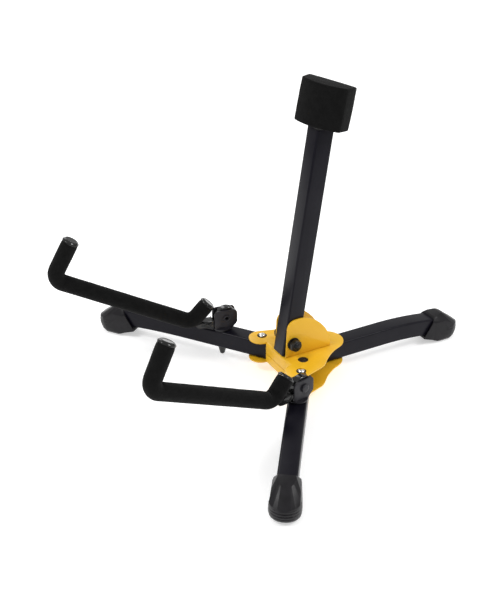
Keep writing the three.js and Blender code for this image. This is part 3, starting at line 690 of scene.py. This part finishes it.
def arm_foam(name):
    stations = arm_stations(CAP_LENGTH + 0.1)
    steps = 40
    last = len(stations) - 1

    def section(index):
        point = stations[index][0]
        bend = 0.0
        if 0 < index < last:
            bend = stations[index - 1][1].angle(stations[index + 1][1])
        out = []
        for a, b in circle(1, steps):
            inner_side = max(0, b)
            wrinkle = -0.35 * inner_side * min(1, bend / 0.1) * (1 + math.cos(index * math.pi)) / 2
            skin = 0.12 * noise.noise(Vector((a * 9, point.y + b * 9, point.z)) * 0.12)
            radius = FOAM_RADIUS - 0.15 + wrinkle + skin
            if index in (0, last):
                radius -= 0.5
            out.append((a * radius, b * radius))
        return out

    foam = make(f"{name}_arm_foam_look", swept(section, stations), ARM[name])
    finish_piece(foam, FOAM, f"{name}_arm", [f"{name}_arm_foam"], smooth=60)


def arm_caps(name):
    profile = [(0, -CAP_LENGTH - 8), (4.4, -CAP_LENGTH - 8), (4.4, -CAP_LENGTH), (9.9, -CAP_LENGTH),
               (9.98, -2.4), (9.75, -1.9), (8.0, -0.35), (7.5, -0.05), (6.9, 0.0), (6.5, -0.35), (0, -0.5)]
    ends = (("stub", ARM_CORNERS[0], ARM_CORNERS[1]), ("tip", ARM_CORNERS[3], ARM_CORNERS[2]))
    for label, end, toward in ends:
        outward = Vector((0, end[0] - toward[0], end[1] - toward[1])).normalized()
        aim = outward.to_track_quat("Z", "X").to_matrix().to_4x4()
        node = f"{name}_arm_{label}_cap"
        cap = make(f"{node}_look", turned(profile), ARM[name] @ Matrix.Translation((0, *end)) @ aim)
        finish_piece(cap, GLOSS, f"{name}_arm", [node])


def from_pin(points, height=PIN_Z):
    return [(y, z + height) for y, z in points]


def knuckle(name):
    """The hinge disc, its neck and the glossy lug with raised chevrons that reaches under the foam."""
    place = ARM[name]
    at_pin = place @ Matrix.Translation((0, 0, PIN_Z))
    rim = [(0, -4.2), (12.9, -4.2), (13.5, -3.6), (13.5, 3.6), (12.9, 4.2), (0, 4.2)]
    disc = make(f"{name}_arm_knuckle_look", turned(rim, 64), along_x(at_pin))
    neck_outline = [(-2, -9.4), (16, -8.4), (34, -7), (41, 0), (36, 6.6), (28, -0.8), (8, -0.8)]
    neck = make("neck", raised(from_pin(neck_outline, NECK_Z), -4.19, 4.19, "X"), place)
    combine(disc, "UNION", neck)
    lug_outline = [(17.8, -0.8), (17.6, -3.4)] + bezier([(17.6, -3.4), (18.6, -7.8), (25.0, -8.7)], 8) \
        + bezier([(25.0, -8.7), (31, -9.0), (36.5, -7.2)], 6) + [(38.5, -4), (29, -0.8)]
    lug = make("lug", raised(from_pin(lug_outline, NECK_Z), -6, 6, "X"), place)
    combine(disc, "UNION", lug)
    for reach in (2.4, 4.2, 6.0):
        rib = [(16.9, 2.6 - reach), (22.2, -2.4 - reach), (31.5, 1.2 - reach), (31.5, 0.3 - reach),
               (22.2, -3.5 - reach), (16.9, 1.6 - reach)]
        combine(disc, "UNION", make("rib", raised(from_pin(rib, NECK_Z), -6.6, 6.6, "X"), place))
    rounded_edges(disc, 0.45, 3, 30)
    finish_piece(disc, GLOSS, f"{name}_arm", [f"{name}_arm_knuckle"])


def clevis(name):
    place = ARM[name]
    outline = [(-5.5, -15.35), (9.5, -15.35)] + bezier([(9.5, -15.35), (15, -15.35), (15, -9.8)], 8) \
        + [(15, 4)] + bezier([(15, 4), (15, 10.3), (9, 10.3)], 8) + [(-8, 10.3)] \
        + bezier([(-8, 10.3), (-13.5, 10.3), (-13.5, 4.5)], 8) + [(-13.5, -6)] \
        + bezier([(-13.5, -6), (-12, -9.5), (-5.5, -15.35)], 6)[:-1]
    block = make(f"{name}_clevis_look", raised(from_pin(outline), -6.5, 6.5, "X"), place)
    slot = from_pin([(-22, -13.85), (22, -13.85), (22, 20), (-22, 20)])
    room = make("room", raised(slot, -4.5, 4.5, "X"), place)
    combine(block, "DIFFERENCE", room)
    web = make("web", turned([(0, WEB[0]), (11.5, WEB[0]), (11.5, WEB[1]), (0, WEB[1])], 56),
               place @ Matrix.Translation((0, PIN_BEHIND_SWIVEL, 0)))
    combine(block, "UNION", web)
    countersink = [(0, WEB[0] - 1), (3.35, WEB[0] - 1), (3.35, WEB[0] + 0.15), (6.2, WEB[1] + 0.25),
                   (0, WEB[1] + 0.25)]
    seat = make("seat", turned(countersink, 40), place @ Matrix.Translation((0, PIN_BEHIND_SWIVEL, 0)))
    pin_hole = make("pin_hole", turned([(0, -10), (3.3, -10), (3.3, 10), (0, 10)], 40),
                    along_x(place @ Matrix.Translation((0, 0, PIN_Z))))
    combine(block, "DIFFERENCE", seat, pin_hole)
    rounded_edges(block, 0.4, 3, 35)
    finish_piece(block, CLEVIS_GREY, f"{name}_clevis", [f"{name}_clevis"])


def hinge_pin(name, side):
    face = 6.6
    head = [(5.1, face + 0.3), (5.1, face + 1.4), (4.9, face + 1.9), (4.4, face + 2.2), (3.0, face + 2.4),
            (1.6, face + 2.45), (0, face + 2.5)]
    flare = [(0, face - 4), (2.25, face - 4), (2.25, face + 1.1), (2.6, face + 1.55), (3.4, face + 1.55),
             (4.0, face + 1.0), (4.0, face + 0.1), (3, face + 0.1)]
    profile = [(radius, -height) for radius, height in flare] + [(3, face + 0.3)] + head
    spin = Matrix.Rotation(math.pi, 4, "Z") if side > 0 else Matrix.Identity(4)
    place = along_x(ARM[name] @ Matrix.Translation((0, 0, PIN_Z)) @ spin)
    pin = make(f"{name}_hinge_pin_look", turned(profile, 40), place)
    finish_piece(pin, CLEVIS_GREY, f"{name}_clevis", [f"{name}_hinge_pin"])


def swivel_hardware(name):
    place = ARM[name] @ Matrix.Translation((0, PIN_BEHIND_SWIVEL, 0))
    nut = [(0, 2.2)] + [(3.5 * math.sin(math.radians(a)), 5.7 - 3.5 * math.cos(math.radians(a)))
                        for a in range(15, 91, 15)]
    nut += [(4.2, 8.5), (5.6, 14.0), (6, 15.4), (6, 16.2), (3.4, 16.4), (0, 16.4)]
    finish_piece(make(f"{name}_swivel_nut_look", turned(nut), place), GLOSS, f"{name}_leg",
                 [f"{name}_swivel_nut"])
    top = WEB[1] - 0.1
    bolt = [(0, 8.6), (3, 8.8), (3, top - 1.2), (5.4, top - 0.15), (5.5, top), (3.0, top), (2.4, top - 0.85),
            (0, top - 0.85)]
    finish_piece(make(f"{name}_swivel_bolt_look", turned(bolt), place), BLACK_STEEL, f"{name}_leg",
                 [f"{name}_swivel_bolt"])


def arms():
    for name, side in SIDES:
        arm_foam(name)
        arm_caps(name)
        knuckle(name)
        clevis(name)
        hinge_pin(name, side)
        swivel_hardware(name)


# ------------------------------------------------------------------ CAD nodes that stay as they are

def dress_frame_nodes():
    looks = {"backrest_bush": NYLON, "pad_spigot": NYLON, "backrest_washer_right": BLACK_STEEL,
             "backrest_washer_left": BLACK_STEEL}
    for name, _ in SIDES:
        looks.update({f"{name}_leg_washer_top": NYLON, f"{name}_leg_washer_bottom": NYLON,
                      f"{name}_swivel_washer": NYLON, f"{name}_arm_tube": BLACK_STEEL})
    for node, material in looks.items():
        part = NODES[node]
        for index in range(max(1, len(part.material_slots))):
            if part.material_slots:
                part.material_slots[index].material = material
            else:
                part.data.materials.append(material)


# ------------------------------------------------------------------ camera, floor and light

def camera():
    """A long lens from the stand's right front, looking down."""
    back = Vector((0.766, -0.423, 0.483)).normalized()
    right = Vector((0.483, 0.876, 0)).normalized()
    up = back.cross(right)
    view = bpy.data.cameras.new("camera")
    view.lens = 71.0
    view.sensor_width = 36.0
    eye = bpy.data.objects.new("camera", view)
    place = Matrix((right, up, back)).transposed().to_4x4()
    place.translation = (Vector((1025.6, -599.7 + DATUM_Y, 770.0))) / METRE
    eye.matrix_world = place
    bpy.context.scene.collection.objects.link(eye)
    bpy.context.scene.camera = eye


def area_light(name, place, target, size, power):
    light = bpy.data.lights.new(name, "AREA")
    light.shape = "RECTANGLE"
    light.size, light.size_y = size
    light.energy = power
    lamp = bpy.data.objects.new(name, light)
    lamp.location = place
    lamp.rotation_euler = (Vector(place) - Vector(target)).to_track_quat("Z", "Y").to_euler()
    bpy.context.scene.collection.objects.link(lamp)


def studio():
    """A white floor, a pale backdrop, a bright sky and soft lamps for the lines along the tube edges."""
    floor = make("floor", raised([(-6000, -6000), (6000, -6000), (6000, 6000), (-6000, 6000)], -20, -0.4))
    surface = bpy.data.materials.new("pale_floor")
    surface.use_nodes = True
    shade = surface.node_tree.nodes["Principled BSDF"]
    shade.inputs["Base Color"].default_value = (0.8, 0.8, 0.8, 1)
    shade.inputs["Roughness"].default_value = 1.0
    shade.inputs["Specular IOR Level"].default_value = 0.0
    shade.inputs["Emission Color"].default_value = (1, 1, 1, 1)
    shade.inputs["Emission Strength"].default_value = 0.45
    floor.data.materials.append(surface)
    world = bpy.data.worlds.new("studio")
    world.use_nodes = True
    nodes, links = world.node_tree.nodes, world.node_tree.links
    direction = nodes.new("ShaderNodeTexCoord").outputs["Generated"]
    split = nodes.new("ShaderNodeSeparateXYZ")
    links.new(direction, split.inputs["Vector"])
    ramp = nodes.new("ShaderNodeValToRGB")
    ramp.color_ramp.elements[0].position = 0.0
    ramp.color_ramp.elements[0].color = grey(0.12)
    ramp.color_ramp.elements[1].position = 0.25
    ramp.color_ramp.elements[1].color = grey(1.0)
    links.new(split.outputs["Z"], ramp.inputs["Fac"])
    sky = nodes["Background"]
    links.new(ramp.outputs["Color"], sky.inputs["Color"])
    sky.inputs["Strength"].default_value = 0.7
    backdrop = nodes.new("ShaderNodeBackground")
    backdrop.inputs["Color"].default_value = grey(0.86)
    seen = nodes.new("ShaderNodeMixShader")
    links.new(nodes.new("ShaderNodeLightPath").outputs["Is Camera Ray"], seen.inputs[0])
    links.new(sky.outputs["Background"], seen.inputs[1])
    links.new(backdrop.outputs["Background"], seen.inputs[2])
    links.new(seen.outputs["Shader"], nodes["World Output"].inputs["Surface"])
    bpy.context.scene.world = world
    area_light("front_edge", (-0.1, -1.25, 1.6), (0, 0, 0.1), (0.7, 0.5), 14)
    area_light("rear_edge", (0.95, 0.85, 1.5), (0, 0, 0.1), (0.5, 0.5), 12)
    area_light("left_fill", (-1.6, 0.2, 1.1), (0, 0, 0.12), (0.5, 1.3), 6)
    bpy.context.scene.view_settings.view_transform = "Standard"


camera()
studio()
hub()
rivets()
lock_buttons()
legs()
backrest_tube()
pivot_bolt()
back_pad()
arms()
dress_frame_nodes()
